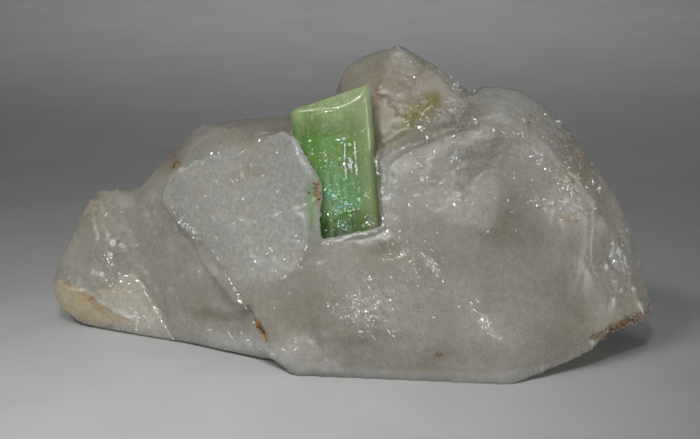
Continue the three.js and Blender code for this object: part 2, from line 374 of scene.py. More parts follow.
# Where healed cracks show as white wisps, and where iron has stained the quartz,
# [across, up, reach across, reach up, turn, how much].
wispSpots = [
    [-40.2, 14.5, 1.8, 3, 20, 0.8], [-41, 21, 2, 1.6, 0, 0.5], [-39, 11, 3, 1.4, -15, 1],
    [-27, 22, 4, 1.4, -50, 0.7], [-14, 17, 7, 2.4, 5, 0.7], [-8.5, 35, 1.5, 2.6, 20, 0.8],
    [-9.5, 5, 3, 1.2, 15, 0.9], [-18, 4, 7, 1.4, -12, 0.7], [2.7, 11.4, 5, 2.8, -35, 0.9],
    [2.5, 16, 2.4, 1, -45, 0.6], [10, 19, 5, 3.2, -30, 0.8], [13.4, 18, 3, 0.8, -55, 1],
    [21.2, 10.2, 4.2, 1.1, -52, 1.1], [13.5, 39.6, 4, 1.2, 25, 0.9], [17, 34, 1.8, 3, 0, 0.8],
    [14.4, 35.6, 1, 3, 15, 0.6], [10.7, 34, 2.6, 2.4, 0, 0.6], [12.3, 31.2, 1.8, 0.8, -20, 0.8],
    [18, 28, 5, 0.9, -38, 0.8], [26, 37, 3, 1.8, -30, 0.8], [31, 33.5, 6, 1.4, -42, 0.9],
    [28.5, 28.5, 3, 2.4, 60, 0.6], [35, 28.4, 2.6, 3.4, 10, 1.1], [34, 25.6, 4, 1.4, 0, 0.9],
    [43.4, 18, 1.4, 3.4, 10, 1.1], [37.5, 18.2, 1.4, 0.8, 30, 1], [6, 28, 1.4, 4, 0, 0.7],
    [-4, 21.4, 2.4, 0.8, 10, 0.9], [11, 46.5, 6, 1.2, -35, 1], [4, 34.6, 0.8, 2, 0, 1],
    [9, 44, 6, 2, -20, 0.15], [33, 12, 3, 1.6, 30, 0.4], [9, 40.4, 6, 1.8, 28, 0.35],
    [-25, 29, 7, 1.4, 40, 0.4], [13.4, 46.2, 2, 0.9, -40, 1.1], [17.4, 43.6, 1.8, 0.8, -45, 1.1],
    [8.5, 47.6, 2, 1, 0, 0.8], [29, 35.4, 7, 1.2, -42, 0.9], [33, 24.6, 3.4, 1, -8, 0.8],
    [44.4, 20.4, 1.2, 1.8, 20, 1],
]
rustSpots = [
    [-29.4, 30.4, 1.9, 0.9, 45, 1], [-5.4, 29.2, 1.0, 2.0, 0, 0.75], [4.6, 42.6, 0.9, 2.2, 10, 0.8],
    [13.8, 4.8, 1.1, 0.7, 0, 0.8], [44, 5.7, 6.5, 0.9, 6, 1.1], [35, 24.2, 2.8, 0.35, -8, 0.55],
    [-24.5, 27.6, 1.8, 1.2, 0, 0.45], [-22.8, 24.8, 1.2, 1, 0, 0.45], [26.6, 36, 2.2, 0.5, -30, 0.4],
    [44, 18.6, 1, 0.8, 0, 0.5], [28.6, 38.6, 0.5, 1.6, 10, 0.6], [-14.6, 6.7, 2.6, 0.55, -58, 1.1],
    [-17.6, 11, 2, 0.25, -60, 0.8],
]
storeValues(quartzMesh, "milkyAndPaintedLight", np.clip(0.5 + 0.5 * milkyAndPaintedLight, 0, 1))
# Where the crystal shows through the quartz round it, and where thin iron stains warm it.
greenSpots = [[-6.3, 27.6, 0.9, 4.2, 0, 1], [4.9, 30.4, 1.0, 2.2, 0, 0.7], [7, 38, 3.4, 1.3, 32, 0.45]]
warmSpots = [
    [8, 44, 13, 8, 0, 0.75], [-40, 10, 5, 3, 0, 0.4], [44, 24, 5, 9, 0, 0.45], [45, 8, 7, 6, 0, 0.65],
    [35, 24.8, 3, 0.7, -12, 0.9], [-17, 31, 4, 2, 20, 0.5], [-44, 22, 5, 5, 0, 0.6],
    [36, 30, 5, 5, -40, 0.6], [14, 1.4, 16, 1.8, 0, 0.55], [-20, 36, 9, 2, 0, 0.7], [-10, 9, 6, 4, 0, 0.35],
    [6, 20, 5, 2, 0, 0.5], [40, 8, 9, 6, 0, 0.5],
]
storeValues(quartzMesh, "greenish", front * spotsAt(greenSpots, across, up))
storeValues(quartzMesh, "warmth", front * spotsAt(warmSpots, across, up))
storeValues(quartzMesh, "wisps", front * spotsAt(wispSpots, across, up))
# The thin lines of iron round the thin end's flakes.
rustLines = [
    {"line": [(-48, 9.9), (-45.4, 9.4), (-42.7, 7.8), (-39.2, 5.9), (-36.2, 5)], "width": 0.4,
     "amount": 0.7},
    {"line": [(-45.4, 8.9), (-43, 7), (-40, 5)], "width": 0.3, "amount": 0.65},
    {"line": [(-50, 7.4), (-48.5, 4.4), (-46.5, 2.2), (-43, 2.8)], "width": 0.5, "amount": 0.55},
]
rusty = front * spotsAt(rustSpots, across, up)
for line in rustLines:
    away = distanceTo(line["line"], across + 0.3 * grain, up + 0.3 * grain)
    rusty = np.maximum(rusty, line["amount"] * np.exp(-(away / line["width"]) ** 2) * front)
storeValues(quartzMesh, "rusty", rusty)
storeValues(quartzMesh, "rough", np.clip(rough, 0, 1))
for name in ("plate", "cream", "orange", "crystalReflection"):
    storeValues(quartzMesh, name, masks[name])
quartzMesh.shade_smooth()
print("quartz surface is worked")

# Massive quartz, full of tiny veils and broken, not polished: satin, and cloudy because light that goes in
# comes out near by. The veils and the grit of real breaks are finer, and are drawn as coarse as shows.
quartzWidths = {"cloud": 1.11, "speck": 0.385, "fleck": 0.667, "grit": 0.556}  # of the patterns
quartzScales = {name: 1 / (width * mm) for name, width in quartzWidths.items()}
quartz = newMaterial("cloudyQuartz")
tree = quartz.node_tree
place = addNode(tree, "ShaderNodeTexCoord").outputs["Object"]
roughValue = addNode(tree, "ShaderNodeAttribute", {"attribute_name": "rough"}).outputs["Fac"]
milkyAndPaintedLightValue = addNode(tree, "ShaderNodeAttribute", {"attribute_name": "milkyAndPaintedLight"}).outputs["Fac"]
mottle = addNode(tree, "ShaderNodeTexNoise", None,
                 {"Vector": place, "Scale": quartzScales["cloud"], "Detail": 4.0}).outputs["Fac"]
mottled = addNode(tree, "ShaderNodeMath", {"operation": "MULTIPLY_ADD"},
                  {0: mottle, 1: 0.55, 2: -0.275}).outputs[0]
# The cloud carries that painted light and shade into the base colour.
cloud = addNode(tree, "ShaderNodeMath", {"operation": "ADD"}, {0: milkyAndPaintedLightValue, 1: mottled}).outputs[0]
speck = addNode(tree, "ShaderNodeTexNoise", None,
                {"Vector": place, "Scale": quartzScales["speck"], "Detail": 1.0}).outputs["Fac"]
evenSpeck = addNode(tree, "ShaderNodeMath", {"operation": "SUBTRACT"}, {0: speck, 1: 0.5}).outputs[0]
speckHere = addNode(tree, "ShaderNodeMath", {"operation": "MULTIPLY_ADD"},
                    {0: roughValue, 1: 0.9, 2: 0.65}).outputs[0]
cloud = addNode(tree, "ShaderNodeMath", {"operation": "MULTIPLY_ADD"},
                {0: evenSpeck, 1: speckHere, 2: cloud}).outputs[0]
tone = setRamp(addNode(tree, "ShaderNodeValToRGB", None, {"Fac": cloud}), [
    (0.0, "#9c9886"), (0.5, "#cdc9bc"), (1.0, "#faf8f2")])
torn = addNode(tree, "ShaderNodeTexNoise", None,
               {"Vector": place, "Scale": quartzScales["cloud"], "Detail": 3.0}).outputs["Fac"]
fleck = addNode(tree, "ShaderNodeTexNoise", None,
                {"Vector": place, "Scale": quartzScales["fleck"], "Detail": 2.0}).outputs["Fac"]
# Each patch has its own two tones and an edge that is this soft. The last patch's tones are a painted
# reflection of the crystal.
for name, soft, dark, light in (("plate", 0.08, "#d5d5cd", "#f6f5ee"), ("cream", 0.08, "#f2e6cf", "#fffaee"),
                                ("orange", 0.08, "#f4d2ac", "#ffeed2"), ("crystalReflection", 0.7, "#b8b07c", "#ccc698")):
    depth = addNode(tree, "ShaderNodeAttribute", {"attribute_name": name}).outputs["Fac"]
    edge = addNode(tree, "ShaderNodeMath", {"operation": "ADD"}, {0: depth, 1: torn}).outputs[0]
    mask = addNode(tree, "ShaderNodeMapRange", None,
                   {"Value": edge, "From Min": 0.5 - soft, "From Max": 0.5 + soft}).outputs[0]
    patchTone = setRamp(addNode(tree, "ShaderNodeValToRGB", None, {"Fac": fleck}),
                        [(0.35, dark), (0.65, light)])
    tone = addNode(tree, "ShaderNodeMix", {"data_type": "RGBA"}, {0: mask, 6: tone, 7: patchTone}).outputs[2]
for name, tint, most in (("warmth", "#f6e2b6", 0.7), ("greenish", "#b8ec9c", 0.9)):
    tintValue = addNode(tree, "ShaderNodeAttribute", {"attribute_name": name}).outputs["Fac"]
    tintEdge = addNode(tree, "ShaderNodeMath", {"operation": "MULTIPLY_ADD"},
                       {0: torn, 1: 0.6, 2: tintValue}).outputs[0]
    tintHere = addNode(tree, "ShaderNodeMapRange", None,
                       {"Value": tintEdge, "From Min": 0.45, "From Max": 1.25, "To Max": most}).outputs[0]
    tone = addNode(tree, "ShaderNodeMix", {"data_type": "RGBA", "blend_type": "MULTIPLY"},
                   {0: tintHere, 6: tone, 7: tint}).outputs[2]
wispValue = addNode(tree, "ShaderNodeAttribute", {"attribute_name": "wisps"}).outputs["Fac"]
strands = addNode(tree, "ShaderNodeTexNoise", {"noise_type": "RIDGED_MULTIFRACTAL"},
                  {"Vector": place, "Scale": quartzScales["cloud"], "Detail": 6.0,
                   "Distortion": 1.2}).outputs["Fac"]
wispHere = addNode(tree, "ShaderNodeMath", {"operation": "MULTIPLY"}, {0: wispValue, 1: strands}).outputs[0]
wisp = addNode(tree, "ShaderNodeMapRange", None,
               {"Value": wispHere, "From Min": 0.08, "From Max": 0.42}).outputs[0]
tone = addNode(tree, "ShaderNodeMix", {"data_type": "RGBA"}, {0: wisp, 6: tone, 7: "#ffffff"}).outputs[2]
rustValue = addNode(tree, "ShaderNodeAttribute", {"attribute_name": "rusty"}).outputs["Fac"]
rustEdge = addNode(tree, "ShaderNodeMath", {"operation": "MULTIPLY_ADD"},
                   {0: fleck, 1: 0.9, 2: rustValue}).outputs[0]
rustHere = addNode(tree, "ShaderNodeMapRange", None,
                   {"Value": rustEdge, "From Min": 0.75, "From Max": 1.25, "To Max": 0.85}).outputs[0]
rustTone = setRamp(addNode(tree, "ShaderNodeValToRGB", None, {"Fac": torn}), [
    (0.4, "#8a6030"), (0.6, "#d8ac70")])
tone = addNode(tree, "ShaderNodeMix", {"data_type": "RGBA"}, {0: rustHere, 6: tone, 7: rustTone}).outputs[2]
satin = addNode(tree, "ShaderNodeMapRange", None,
                {"Value": roughValue, "To Min": 0.38, "To Max": 0.3}).outputs[0]
waves = addNode(tree, "ShaderNodeTexNoise", None,
                {"Vector": place, "Scale": quartzScales["cloud"], "Detail": 5.0}).outputs["Fac"]
grit = addNode(tree, "ShaderNodeTexVoronoi", None,
               {"Vector": place, "Scale": quartzScales["grit"]}).outputs["Distance"]
gritHere = addNode(tree, "ShaderNodeMath", {"operation": "MULTIPLY"}, {0: roughValue, 1: grit}).outputs[0]
relief = addNode(tree, "ShaderNodeMath", {"operation": "ADD"}, {0: waves, 1: gritHere}).outputs[0]
bump = addNode(tree, "ShaderNodeBump", None,
               {"Height": relief, "Strength": 0.35, "Distance": 0.2 * mm}).outputs[0]
shader = addNode(tree, "ShaderNodeBsdfPrincipled", None, {
    "Base Color": tone, "Roughness": satin, "Normal": bump, "IOR": 1.544, "Transmission Weight": 0.6,
    "Coat Weight": 0.22, "Coat Roughness": 0.3,
    "Subsurface Weight": 1.0, "Subsurface Radius": (1.0, 0.95, 0.85), "Subsurface Scale": 7 * mm})
absorb = addNode(tree, "ShaderNodeVolumeAbsorption", None, {"Color": "#e2dcc6", "Density": 16.0})
addNode(tree, "ShaderNodeOutputMaterial", None, {"Surface": shader.outputs[0], "Volume": absorb.outputs[0]})

quartzPiece = showPiece("quartzBlock", quartzMesh, quartz)
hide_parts("quartz")

# Tourmaline

crystalForm = {
    "voxel": 0.17, "softening": 16, "grow": 0.3,
    "longEdge": 12,  # the prism's own edges are longer than this
    "rimDepth": 1.5,  # corners this close behind the front are the top's front rim
    "bevelBelow": 2.2, "bevelIn": 1.6,  # of the slanting face that cuts this rim
    "wornFlat": 0.8,  # how much of its front's bulge is worn away
    "ribWidth": 0.9, "ribDepth": 0.02,
    "crackAt": 0.7,  # the share of its length where a crack crosses it
    "crackStep": 0.06,  # how much thinner it is above this crack
    "pitWidth": 1.2, "pitDepth": 0.03,
}

crystal = formOf("tourmaline")
longEdges = [edge for edge in crystal.edges if edge.calc_length() > crystalForm["longEdge"] * mm]
axis = sum(((edge.verts[1].co - edge.verts[0].co) * (1 if edge.verts[1].co.z > edge.verts[0].co.z else -1)
            for edge in longEdges), Vector()).normalized()
sideways = (Vector((1, 0, 0)) - axis * axis.x).normalized()
outward = sideways.cross(axis)  # out of the front face
foot = sum((vert.co for vert in crystal.verts), Vector()) / len(crystal.verts)
low = min((vert.co - foot).dot(axis) for vert in crystal.verts)
high = max((vert.co - foot).dot(axis) for vert in crystal.verts)
frontBy = max((vert.co - foot).dot(outward) for vert in crystal.verts)
rimBy = frontBy - crystalForm["rimDepth"] * mm
topRim = [vert for vert in crystal.verts
          if (vert.co - foot).dot(axis) > 0 and (vert.co - foot).dot(outward) > rimBy]
leftTop = min(topRim, key=lambda vert: (vert.co - foot).dot(sideways)).co.copy()
rightTop = max(topRim, key=lambda vert: (vert.co - foot).dot(sideways)).co.copy()
rim = (rightTop - leftTop).normalized()
bevelNormal = (outward * crystalForm["bevelBelow"] + axis * crystalForm["bevelIn"]).normalized()
bevelNormal = (bevelNormal - rim * bevelNormal.dot(rim)).normalized()
bevelHeight = (rightTop - foot).dot(axis) - crystalForm["bevelBelow"] * mm
bevelPoint = foot + outward * frontBy + axis * bevelHeight
bevelPoint += sideways * (rightTop - foot).dot(sideways)
bmesh.ops.bisect_plane(crystal, geom=crystal.verts[:] + crystal.edges[:] + crystal.faces[:],
                       dist=0.001 * mm, plane_co=bevelPoint, plane_no=bevelNormal, clear_outer=True)
bmesh.ops.holes_fill(crystal, edges=[edge for edge in crystal.edges if edge.is_boundary])
crystalMesh = remeshed(crystal, crystalForm["voxel"])
setPoints(crystalMesh, smoothedPoints(crystalMesh, crystalForm["softening"]))
points = pointsOf(crystalMesh)
outwards = normalsOf(crystalMesh)
local = points - np.array(foot) / mm
along = (local @ np.array(axis) - low / mm) / ((high - low) / mm)
sideBy = local @ np.array(sideways)
onFront = smoothStep(0.5, 0.85, outwards @ np.array(outward))
print("tourmaline has", len(points), "points and", len(crystalMesh.polygons), "faces")
# Its front is worn flat between the corners.
faceIn = (onFront > 0.9) & (abs(sideBy) < 0.8 * abs(sideBy).max()) & (along > 0.15) & (along < 0.85)
proud = local @ np.array(outward)
terms = np.stack([np.ones(len(sideBy)), sideBy, along, sideBy ** 2], axis=1)
flatFront = terms @ np.linalg.lstsq(terms[faceIn], proud[faceIn], rcond=None)[0]
flatten = crystalForm["wornFlat"] * onFront * smoothStep(0.92, 0.86, along)
flatten *= smoothStep(0.95, 0.8, abs(sideBy) / abs(sideBy).max())
points = points + np.array(outward) * ((flatFront - proud) * flatten)[:, None]
ribWaves = np.array([noise.fractal(Vector((by / crystalForm["ribWidth"], 7, 3)), 1.0, 2.0, 4)
                     for by in sideBy])
crackAt = crystalForm["crackAt"] + 0.008 * sideBy + 0.01 * fractalAt(points, 1.5)
lift = crystalForm["grow"]
lift += crystalForm["ribDepth"] * onFront * ribWaves * smoothStep(crackAt + 0.02, crackAt - 0.02, along)
lift -= crystalForm["crackStep"] * onFront * smoothStep(crackAt - 0.012, crackAt + 0.012, along)
lift += crystalForm["pitDepth"] * fractalAt(points + 9, crystalForm["pitWidth"])
setPoints(crystalMesh, points + outwards * lift[:, None])
storeValues(crystalMesh, "along", along)
storeValues(crystalMesh, "sideways", sideBy)
crystalMesh.shade_smooth()

# Pale green tourmaline, grown with fine ribs along its length and broken across: glassy and full of small
# cracks. Its colour goes from deep green at the foot to pale at the top.
crystalWidths = {"cloud": 2.38, "grain": 0.357}  # of the patterns
crystalScales = {name: 1 / (width * mm) for name, width in crystalWidths.items()}
tourmaline = newMaterial("greenTourmaline")
tree = tourmaline.node_tree
alongValue = addNode(tree, "ShaderNodeAttribute", {"attribute_name": "along"}).outputs["Fac"]
sideValue = addNode(tree, "ShaderNodeAttribute", {"attribute_name": "sideways"}).outputs["Fac"]
place = addNode(tree, "ShaderNodeTexCoord").outputs["Object"]
# In millimetres across the crystal and a share of its length along it, so that the noise is drawn into ribs.
ribPlace = addNode(tree, "ShaderNodeCombineXYZ", None, {"X": sideValue, "Y": alongValue}).outputs[0]
ribs = addNode(tree, "ShaderNodeTexNoise", None,
               {"Vector": ribPlace, "Scale": 1 / 0.385, "Detail": 4.0}).outputs["Fac"]
clouds = addNode(tree, "ShaderNodeTexNoise", None,
                 {"Vector": place, "Scale": crystalScales["cloud"], "Detail": 5.0}).outputs["Fac"]
shift = addNode(tree, "ShaderNodeMath", {"operation": "MULTIPLY_ADD"},
                {0: clouds, 1: 0.18, 2: -0.09}).outputs[0]
zone = addNode(tree, "ShaderNodeMath", {"operation": "ADD"}, {0: alongValue, 1: shift}).outputs[0]
greens = setRamp(addNode(tree, "ShaderNodeValToRGB", None, {"Fac": zone}), [
    (0.1, "#468210"), (0.16, "#6ca43c"), (0.22, "#94ca88"), (0.4, "#98ce90"), (0.52, "#a0cc7a"),
    (0.68, "#9ecc74"), (0.74, "#a8c486"), (0.86, "#d4eab2"), (1.0, "#f0fad0"),
])
grains = addNode(tree, "ShaderNodeTexVoronoi", None,
                 {"Vector": place, "Scale": crystalScales["grain"]}).outputs["Color"]
grainTone = setRamp(addNode(tree, "ShaderNodeValToRGB", None, {"Fac": grains}), [
    (0.2, "#c0ccb8"), (0.8, "#ffffff")])
greens = addNode(tree, "ShaderNodeMix", {"data_type": "RGBA", "blend_type": "MULTIPLY"},
                 {0: 0.6, 6: greens, 7: grainTone}).outputs[2]
ribTone = setRamp(addNode(tree, "ShaderNodeValToRGB", None, {"Fac": ribs}), [
    (0.35, "#d8e4cc"), (0.65, "#ffffff")])
greens = addNode(tree, "ShaderNodeMix", {"data_type": "RGBA", "blend_type": "MULTIPLY"},
                 {0: 0.4, 6: greens, 7: ribTone}).outputs[2]
# The right side, turned from the light, is painted paler: painted light that lifts its shade.
paintedLightRight = addNode(tree, "ShaderNodeMapRange", None,
                    {"Value": sideValue, "From Min": 1.5, "From Max": 5.5, "To Max": 0.75}).outputs[0]
greens = addNode(tree, "ShaderNodeMix", {"data_type": "RGBA"},
                 {0: paintedLightRight, 6: greens, 7: "#cedeac"}).outputs[2]
shader = addNode(tree, "ShaderNodeBsdfPrincipled", None, {
    "Base Color": greens, "Roughness": 0.24, "IOR": 1.63, "Transmission Weight": 0.4,
    "Subsurface Weight": 1.0, "Subsurface Radius": (0.8, 1.0, 0.6), "Subsurface Scale": 2 * mm})
absorb = addNode(tree, "ShaderNodeVolumeAbsorption", None, {"Color": "#b8e49c", "Density": 22.0})
addNode(tree, "ShaderNodeOutputMaterial", None, {"Surface": shader.outputs[0], "Volume": absorb.outputs[0]})
crystalPiece = showPiece("tourmalineCrystal", crystalMesh, tourmaline)
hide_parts("tourmaline")
print("tourmaline is worked")

# Veils, sparkles and stains

# Chips are mostly small, with a few large ones. The spread sets how much they differ.
def chipSizes(seats, shape, spread, least, most):
    return np.clip(rng.gamma(shape, spread, len(seats[0])) + least, least, most)


# One small chip is copied to each seat. A seat is a place, the way that its surface faces there and the way
# that the chip's length runs. Each chip gets its own size and leans away by its own amount.
def chipMesh(name, seats, sizes, thick, lean, length=1.0):
    chip = bmesh.new()
    bmesh.ops.create_cone(chip, cap_ends=True, segments=5, radius1=0.5, radius2=0.15, depth=thick)
    corners = np.array([vert.co for vert in chip.verts])
    faces = [[vert.index for vert in face.verts] for face in chip.faces]
    chip.free()
    places, facings, grains = seats
    up = facings + rng.normal(0, lean, facings.shape)
    up /= np.linalg.norm(up, axis=1)[:, None]
    side = grains - up * (grains * up).sum(1)[:, None]
    side /= np.linalg.norm(side, axis=1)[:, None]
    spins = np.stack([side, np.cross(up, side), up], axis=2)
    stretched = corners[None] * sizes[:, None, None] * rng.uniform(0.45, 1.5, (len(places), 1, 3))
    stretched[:, :, 0] *= length
    placed = np.einsum("nij,nkj->nki", spins, stretched) + places[:, None]
    mesh = bpy.data.meshes.new(name)
    firsts = range(0, len(places) * len(corners), len(corners))
    allFaces = [[first + corner for corner in face] for first in firsts for face in faces]
    mesh.from_pydata((placed.reshape(-1, 3) * mm).tolist(), [], allFaces)
    mesh.shade_flat()
    return mesh


# Seats under the quartz's front: inside an outline, or thick about a spot, and clumped.
def seatsUnder(spot):
    if "mask" in spot:
        weight = (masks[spot["mask"]] > spot.get("inset", 0)) * 1.0
    else:
        alongSpot, acrossSpot = offsetsFrom(spot["at"], spot.get("turn", 0), across, up)
        away = (alongSpot / spot["reach"][0]) ** 2 + (acrossSpot / spot["reach"][1]) ** 2
        weight = np.exp(-2.2 * away) * (facing[:, 1] < 0.25)
    clumped = np.clip(0.4 + spot.get("clump", 1.6) * clumps, 0.01, None)
    weight = weight * (clumped + spot.get("thread", 0) * threads)
    weight[weight < 0.02 * weight.max()] = 0
    chosen = rng.choice(len(surface), spot["count"], p=weight / weight.sum())
    depth = rng.uniform(*spot["depth"], spot["count"])
    places = surface[chosen] - facing[chosen] * depth[:, None] + rng.normal(0, 0.14, (len(chosen), 3))
    return places, facing[chosen], grainsOf(spot)


# A spot's own direction with a little scatter, or every direction where it has none.
def grainsOf(spot):
    turns = rng.uniform(0, math.pi, spot["count"])
    if "grain" in spot:
        turns = math.radians(spot["grain"]) + rng.normal(0, spot.get("scatter", 0.35), spot["count"])
    return np.stack([np.cos(turns), np.zeros(spot["count"]), np.sin(turns)], axis=1)


def seatsOf(spots, depth):
    found = [seatsUnder({"depth": depth, **spot}) for spot in spots]
    return [np.concatenate([seats[i] for seats in found]) for i in range(3)]


# Points at these lengths along a line of corners.
def pointsAlong(corners, lengths, wanted):
    return np.stack([np.interp(wanted, lengths, corners[:, i]) for i in (0, 1)], axis=1)


# Seats on a line drawn on the front of a form, or scattered about a spot there.
def seatsOnFront(tree, spot):
    if "line" in spot:
        corners = np.array(spot["line"], float)
        lengths = np.append(0, np.cumsum(np.linalg.norm(np.diff(corners, axis=0), axis=1)))
        wanted = rng.uniform(0, lengths[-1], spot["count"])
        flat = pointsAlong(corners, lengths, wanted)
        flat += rng.normal(0, spot.get("spread", 0.12), flat.shape)
        step = 0.3  # either way along the line, to find the way that it runs
        ways = pointsAlong(corners, lengths, wanted + step) - pointsAlong(corners, lengths, wanted - step)
        grains = np.stack([ways[:, 0], np.zeros(len(ways)), ways[:, 1]], axis=1)
        grains += rng.normal(0, spot.get("scatter", 0.2), grains.shape)
    else:
        turn = math.radians(spot.get("turn", 0))
        turned = np.array([[math.cos(turn), math.sin(turn)], [-math.sin(turn), math.cos(turn)]])
        flat = rng.normal(0, 0.5, (spot["count"], 2)) * spot["reach"]
        flat = flat @ turned + spot["at"]
        grains = grainsOf(spot)
    places, facings, kept = [], [], []
    for i, (x, z) in enumerate(zip(*placedFrom(flat[:, 0], flat[:, 1]))):
        place, facing, _, _ = tree.ray_cast(Vector((x, inFront, z)) * mm, Vector((0, 1, 0)))
        if place is not None:
            places.append(np.array(place) / mm)
            facings.append(np.array(facing))
            kept.append(i)
    places, facings = np.array(places), np.array(facings)
    depth = rng.uniform(*spot.get("depth", (-0.03, 0.08)), len(kept))
    return places - facings * depth[:, None], facings, grains[kept]


def seatsOnFronts(tree, spots):
    found = [seatsOnFront(tree, spot) for spot in spots]
    return [np.concatenate([seats[i] for seats in found]) for i in range(3)]


def treeOf(mesh):
    form = bmesh.new()
    form.from_mesh(mesh)
    tree = BVHTree.FromBMesh(form)
    form.free()
    return tree


inFront = -60  # how far along Y a ray starts, clear of the front
clumps = fractalAt(surface + 90, 1.3, 3)
threads = np.exp(-(fractalAt(surface + 70, 5.0, 3) / 0.05) ** 2)  # thin wandering lines

sparkleSpots = [
    {"at": (-40.2, 15), "reach": (0.9, 1.4), "count": 130, "clump": 0.6},
    {"at": (-41.6, 21.3), "reach": (1.3, 1.2), "count": 25},
    {"at": (-38.2, 22), "reach": (0.5, 0.5), "count": 6},
    {"at": (-43.2, 19.7), "reach": (0.6, 1), "count": 8},
    {"at": (-39.8, 11.4), "reach": (3.4, 1.6), "count": 80},
    {"at": (-28.2, 22.7), "reach": (1.6, 0.6), "turn": -60, "count": 150, "clump": 0.6},
    {"at": (-25.6, 20.8), "reach": (2.0, 0.6), "turn": -38, "count": 320, "clump": 0.6},
    {"at": (-21.6, 23.4), "reach": (1.3, 0.5), "count": 16},
    {"at": (-16.8, 25.5), "reach": (1, 0.6), "count": 12},
    {"at": (-13.7, 20), "reach": (1.2, 0.8), "count": 22},
    {"at": (-10.3, 19), "reach": (1.3, 0.7), "turn": 20, "count": 26},
    {"at": (-13.7, 16.3), "reach": (2, 0.7), "turn": 10, "count": 34},
    {"at": (-8.5, 35.4), "reach": (0.8, 1.4), "count": 24},
    {"at": (-12, 34), "reach": (5, 0.35), "turn": 42, "count": 26},
    {"at": (-3.1, 12), "reach": (1.1, 0.7), "count": 30},
    {"at": (2.7, 11.4), "reach": (5, 3.4), "count": 200, "clump": 0.8},
    {"at": (2.5, 16.1), "reach": (1.6, 2), "turn": -40, "count": 26},
    {"at": (10.3, 19.1), "reach": (4, 3.5), "count": 80},
    {"at": (13.3, 18), "reach": (2.6, 0.8), "turn": -55, "count": 80},
    {"at": (21.1, 10.3), "reach": (3.4, 0.9), "turn": -52, "count": 100},
    {"at": (16.4, 10.3), "reach": (3, 0.5), "turn": -8, "count": 16},
    {"at": (12.9, 39.6), "reach": (3.6, 0.7), "turn": 20, "count": 100},
    {"at": (11.4, 38.3), "reach": (1.3, 0.8), "count": 50},
    {"at": (16.5, 40.7), "reach": (1.4, 1.4), "count": 80},
    {"at": (20, 40), "reach": (1.2, 2), "count": 26},
    {"at": (17.1, 34), "reach": (1.3, 2.0), "count": 130},
    {"at": (10.7, 34.1), "reach": (2.6, 2.2), "count": 50},
    {"at": (12.2, 31.3), "reach": (1.4, 0.7), "turn": -20, "count": 34},
    {"at": (16.7, 29), "reach": (2.4, 0.6), "turn": -38, "count": 90},
    {"at": (20, 26.7), "reach": (1.6, 0.7), "turn": -38, "count": 60},
    {"at": (22.2, 28.8), "reach": (0.7, 0.5), "count": 10},
    {"at": (24.7, 28.1), "reach": (0.8, 0.4), "count": 10},
    {"at": (25.7, 37.3), "reach": (2.5, 2), "count": 40},
    {"at": (29.5, 34.8), "reach": (7, 1.5), "turn": -42, "count": 260, "clump": 2.4},
    {"at": (33.6, 31), "reach": (2, 2), "count": 70},
    {"at": (35.5, 30.1), "reach": (0.7, 0.6), "count": 14},
    {"at": (35.2, 28.6), "reach": (2.2, 3.4), "count": 120},
    {"at": (44, 18.7), "reach": (1.2, 1.2), "count": 30},
    {"at": (42.7, 16.7), "reach": (1.4, 2.4), "count": 90},
    {"at": (37.3, 18.3), "reach": (0.9, 0.6), "turn": 30, "count": 26},
    {"at": (-4.3, 21.7), "reach": (1.6, 0.6), "count": 40},
    {"at": (5.7, 27), "reach": (1.2, 3.2), "count": 70},
    {"at": (3.9, 33.9), "reach": (0.6, 1.6), "count": 40},
    {"at": (9, 46), "reach": (4, 1.2), "turn": -30, "count": 60},
    {"at": (29.6, 10.2), "reach": (3, 2), "count": 14},
    {"at": (0, 22), "reach": (40, 14), "count": 240, "clump": 3},
    {"at": (9, 39.8), "reach": (5, 1.6), "turn": 30, "count": 60, "clump": 1},
    {"at": (13.2, 46.4), "reach": (2, 0.7), "turn": -40, "count": 70, "clump": 1},
    {"at": (17.4, 43.6), "reach": (1.6, 0.6), "turn": -45, "count": 70, "clump": 1},
    {"at": (9, 47.5), "reach": (2.4, 0.7), "count": 40},
    {"at": (18.5, 42.6), "reach": (2, 0.8), "turn": -30, "count": 50},
    {"at": (15, 36), "reach": (12, 7), "count": 400, "clump": 2},
    {"at": (30, 32), "reach": (10, 8), "turn": -40, "count": 400, "clump": 2},
    {"at": (38, 26), "reach": (2.6, 8), "turn": 10, "count": 240, "clump": 2},
]
sparkleSeats = seatsOf(sparkleSpots, (-0.05, 0.2))
sparkleSizes = chipSizes(sparkleSeats, shape=1.1, spread=0.11, least=0.07, most=0.55)
sparkleMesh = chipMesh("sparkles", sparkleSeats, sparkleSizes, thick=0.35, lean=0.8, length=1.3)

# Air in the rough cracks turns the light back whole, so each tiny face shows white or silver.
glint = newMaterial("crackGlint")
tree = glint.node_tree
place = addNode(tree, "ShaderNodeTexCoord").outputs["Object"]
mottle = addNode(tree, "ShaderNodeTexNoise", None, {"Vector": place, "Scale": 1 / (2.5 * mm)}).outputs["Fac"]
glintTone = setRamp(addNode(tree, "ShaderNodeValToRGB", None, {"Fac": mottle}), [
    (0.4, "#e9e6dd"), (0.6, "#ffffff")])
shader = addNode(tree, "ShaderNodeBsdfPrincipled", None,
                 {"Base Color": glintTone, "Roughness": 0.25, "Metallic": 0.4})
addNode(tree, "ShaderNodeOutputMaterial", None, {"Surface": shader.outputs[0]})
showPiece("crackSparkles", sparkleMesh, glint)
print("sparkles:", len(sparkleSizes))

